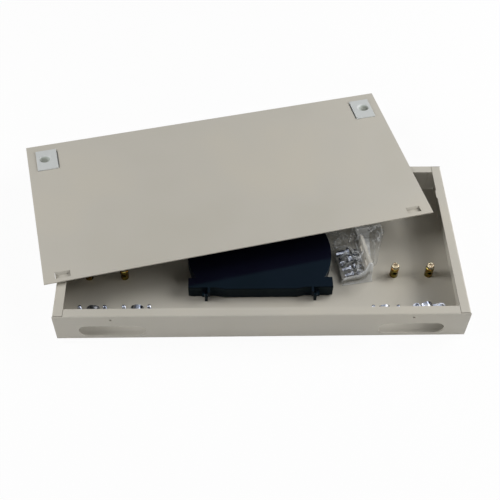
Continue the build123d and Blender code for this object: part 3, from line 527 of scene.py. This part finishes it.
film_finish = clear_film()
top, bottom = bag_skin(250, 270, 28)
ring = np.concatenate([top, bottom], 1)
ring[0, :, 2] = ring[-1, :, 2] = 0.1
turned_x = ring[..., 0] * math.cos(BAG_TURN) - ring[..., 1] * math.sin(BAG_TURN)
turned_y = ring[..., 0] * math.sin(BAG_TURN) + ring[..., 1] * math.cos(BAG_TURN)
placed = np.stack([BAG_X + turned_x / 1000, BAG_Y + turned_y / 1000, BAG_FLOOR + ring[..., 2] / 1000], -1)
creases = np.concatenate([crease_marks(top), np.zeros(bottom.shape[:2])], 1)
bag = skin_piece("film_bag", [placed], film_finish, "chassis", marks=("crease", creases))
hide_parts("accessory_bag")

# ---------------------------------------------------------------- cover
# A flat sheet of the same steel in the same coat. Two hooks lanced from it go under the
# front rim, two cut-outs hold the latches. Here it lies loose and askew over the box.

dress(beige_coat, "cover_plate")

# ---------------------------------------------------------------- latches
# Each slide and its keeper are moulded in white plastic with a soft satin grain, clipped
# to each other through the cover's cut-out. A finger recess is moulded in the slide.

RECESS_DEPTH = 0.0024
# metres below the plate's top where the painted shade is full and where it ends
RECESS_SHADE_DEEP = (0.0012, 0.0001)
# metres from the recess's middle where the painted shade is full and where a quarter of it is left
RECESS_SHADE_NEAR = (0.0034, 0.0092)
# tones of the white, then of the painted shade in the recess
SLIDE_AND_SHADE_TONES = ((197, 200, 199), (202, 205, 204), (178, 185, 180), (156, 162, 155), (126, 130, 122))


def recess_floor(name):
    """Middle of a slide's recess floor, the face direction of its plate, and how far along that direction
    the plate's top lies. The largest upward triangle gives the direction, and the floor's points lie one
    recess depth below the highest ones."""
    mesh = node[name].data
    points = np.empty(len(mesh.vertices) * 3, np.float32)
    mesh.vertices.foreach_get("co", points)
    points = points.reshape(-1, 3).astype(float)
    widest = max((face for face in mesh.polygons if face.normal.z > 0.9), key=lambda face: face.area)
    facing = np.array(widest.normal)
    along = points @ facing
    floor_points = points[np.abs(along.max() - along - RECESS_DEPTH) < 0.0001]
    return floor_points.mean(0).tolist(), facing.tolist(), float(along.max())


def white_plastic(name, slide=None):
    """White moulded plastic: a cool white that varies a little, satin, over a fine mould grain. In a slide's
    recess it goes over to grey, a painted shade, where it is both below the plate's top and near the recess
    floor."""
    finish, shader = new_finish(name, 0.4)
    nodes, links = finish.node_tree.nodes, finish.node_tree.links
    cloud = ranged(finish, grain(finish, 0.02), 0.0, 0.1)
    if slide:
        # painted shade: the recess is greyed where it lies deep below the plate's top and near its floor
        middle, facing, top = recess_floor(slide)
        place = nodes.new("ShaderNodeTexCoord")
        height, apart = nodes.new("ShaderNodeVectorMath"), nodes.new("ShaderNodeVectorMath")
        recess_shade, tone = nodes.new("ShaderNodeMath"), nodes.new("ShaderNodeMath")
        height.operation, apart.operation = "DOT_PRODUCT", "DISTANCE"
        recess_shade.operation, tone.operation = "MULTIPLY", "ADD"
        height.inputs[1].default_value, apart.inputs[1].default_value = facing, middle
        links.new(place.outputs["Object"], height.inputs[0])
        links.new(place.outputs["Object"], apart.inputs[0])
        below_top = tuple(top - depth for depth in RECESS_SHADE_DEEP)
        links.new(ranged(finish, height.outputs["Value"], 1.0, 0.0, below_top), recess_shade.inputs[0])
        links.new(ranged(finish, apart.outputs["Value"], 1.0, 0.25, RECESS_SHADE_NEAR), recess_shade.inputs[1])
        links.new(cloud, tone.inputs[0])
        links.new(recess_shade.outputs["Value"], tone.inputs[1])
        cloud = tone.outputs["Value"]
    colour = tinted_by(finish, cloud, [screen_colour(*tones) for tones in SLIDE_AND_SHADE_TONES], (0.0, 1.0))
    links.new(colour, shader.inputs["Base Color"])
    links.new(ranged(finish, grain(finish, 0.006, 3.0), 0.34, 0.46), shader.inputs["Roughness"])
    raised_by(finish, shader, grain(finish, 0.0007, 2.0), 0.00003, 0.4)
    return finish


dress(white_plastic("white_left_slide", "left_latch_slide"), "left_latch_slide")
dress(white_plastic("white_right_slide", "right_latch_slide"), "right_latch_slide")
dress(white_plastic("white_keeper"), "left_latch_keeper", "right_latch_keeper")

# ---------------------------------------------------------------- studio
# A pale floor that reads as white behind the object and keeps a trace of its shadow, two
# large soft lamps on the right, one on the left and one low in front, and an even fill.


def seen_directly(tree):
    """1 for rays from the camera, from a mirror-like surface or through a clear one, and 0 for the light
    that falls on things."""
    rays = tree.nodes.new("ShaderNodeLightPath")
    most = rays.outputs["Is Camera Ray"]
    for kind in ("Is Glossy Ray", "Is Transmission Ray"):
        both = tree.nodes.new("ShaderNodeMath")
        both.operation = "MAXIMUM"
        tree.links.new(most, both.inputs[0])
        tree.links.new(rays.outputs[kind], both.inputs[1])
        most = both.outputs["Value"]
    return most


FLOOR_HALF, FLOOR_TOP = 4.0, -0.0002
SHADOW_KEPT = 0.06
floor_finish = bpy.data.materials.new("pale_floor")
floor_finish.use_nodes = True
tree = floor_finish.node_tree
tree.nodes.remove(tree.nodes["Principled BSDF"])
matt = tree.nodes.new("ShaderNodeBsdfDiffuse")
matt.inputs["Color"].default_value = (0.9, 0.9, 0.9, 1)
lit = tree.nodes.new("ShaderNodeEmission")
share = tree.nodes.new("ShaderNodeMath")
share.operation = "MULTIPLY"
share.inputs[1].default_value = 1 - SHADOW_KEPT
tree.links.new(seen_directly(tree), share.inputs[0])
blend = tree.nodes.new("ShaderNodeMixShader")
tree.links.new(share.outputs["Value"], blend.inputs["Fac"])
tree.links.new(matt.outputs["BSDF"], blend.inputs[1])
tree.links.new(lit.outputs["Emission"], blend.inputs[2])
tree.links.new(blend.outputs["Shader"], tree.nodes["Material Output"].inputs["Surface"])
floor_mesh = bpy.data.meshes.new("floor")
corners = ((-1, -1), (1, -1), (1, 1), (-1, 1))
floor_mesh.from_pydata([(x * FLOOR_HALF, y * FLOOR_HALF, FLOOR_TOP) for x, y in corners], [], [(0, 1, 2, 3)])
floor_mesh.materials.append(floor_finish)
floor = bpy.data.objects.new("floor", floor_mesh)
bpy.context.scene.collection.objects.link(floor)

AMBIENT = 0.02
world = bpy.data.worlds.new("studio_room")
world.use_nodes = True
tree = world.node_tree
fill = tree.nodes["Background"]
fill.inputs["Color"].default_value = (1, 1, 1, 1)
fill.inputs["Strength"].default_value = AMBIENT
white = tree.nodes.new("ShaderNodeBackground")
white.inputs["Color"].default_value = (1, 1, 1, 1)
blend = tree.nodes.new("ShaderNodeMixShader")
tree.links.new(seen_directly(tree), blend.inputs["Fac"])
tree.links.new(fill.outputs["Background"], blend.inputs[1])
tree.links.new(white.outputs["Background"], blend.inputs[2])
tree.links.new(blend.outputs["Shader"], tree.nodes["World Output"].inputs["Surface"])
bpy.context.scene.world = world


def soft_lamp(name, place, size, power):
    """Square soft lamp at a place in metres, turned towards the middle of the box."""
    lamp = bpy.data.lights.new(name, "AREA")
    lamp.size, lamp.energy = size, power
    holder = bpy.data.objects.new(name, lamp)
    holder.location = place
    holder.rotation_mode = "QUATERNION"
    holder.rotation_quaternion = (Vector((0, 0, 0.02)) - Vector(place)).to_track_quat("-Z", "Y")
    bpy.context.scene.collection.objects.link(holder)


soft_lamp("right_lamp", (1.25, 0.1, 0.8), 0.8, 13.8)
soft_lamp("right_back_lamp", (1.0, 0.7, 1.0), 0.8, 6.4)
soft_lamp("left_lamp", (-1.25, 0.0, 0.8), 0.8, 13.2)
soft_lamp("front_lamp", (0.0, -1.5, 0.5), 0.8, 5.4)

VIEW_PLACE = (-0.03689, -0.59838, 0.77584)
VIEW_AZIMUTH, VIEW_ELEVATION, VIEW_ROLL = (math.radians(a) for a in (-2.521, 51.772, 1.573))
level = math.cos(VIEW_ELEVATION)
ahead = Vector((-math.sin(VIEW_AZIMUTH) * level, math.cos(VIEW_AZIMUTH) * level, -math.sin(VIEW_ELEVATION)))
right = ahead.cross(Vector((0, 0, 1))).normalized()
up = right.cross(ahead)
view_x = math.cos(VIEW_ROLL) * right + math.sin(VIEW_ROLL) * up
view_y = math.cos(VIEW_ROLL) * up - math.sin(VIEW_ROLL) * right
lens = bpy.data.cameras.new("camera")
lens.sensor_width, lens.lens = 36.0, 62.325
lens.clip_start, lens.clip_end = 0.05, 20.0
camera = bpy.data.objects.new("camera", lens)
bpy.context.scene.collection.objects.link(camera)
turn = Matrix((view_x, view_y, -ahead)).transposed().to_4x4()
camera.matrix_world = Matrix.Translation(VIEW_PLACE) @ turn
bpy.context.scene.camera = camera
bpy.context.scene.view_settings.view_transform = "Standard"
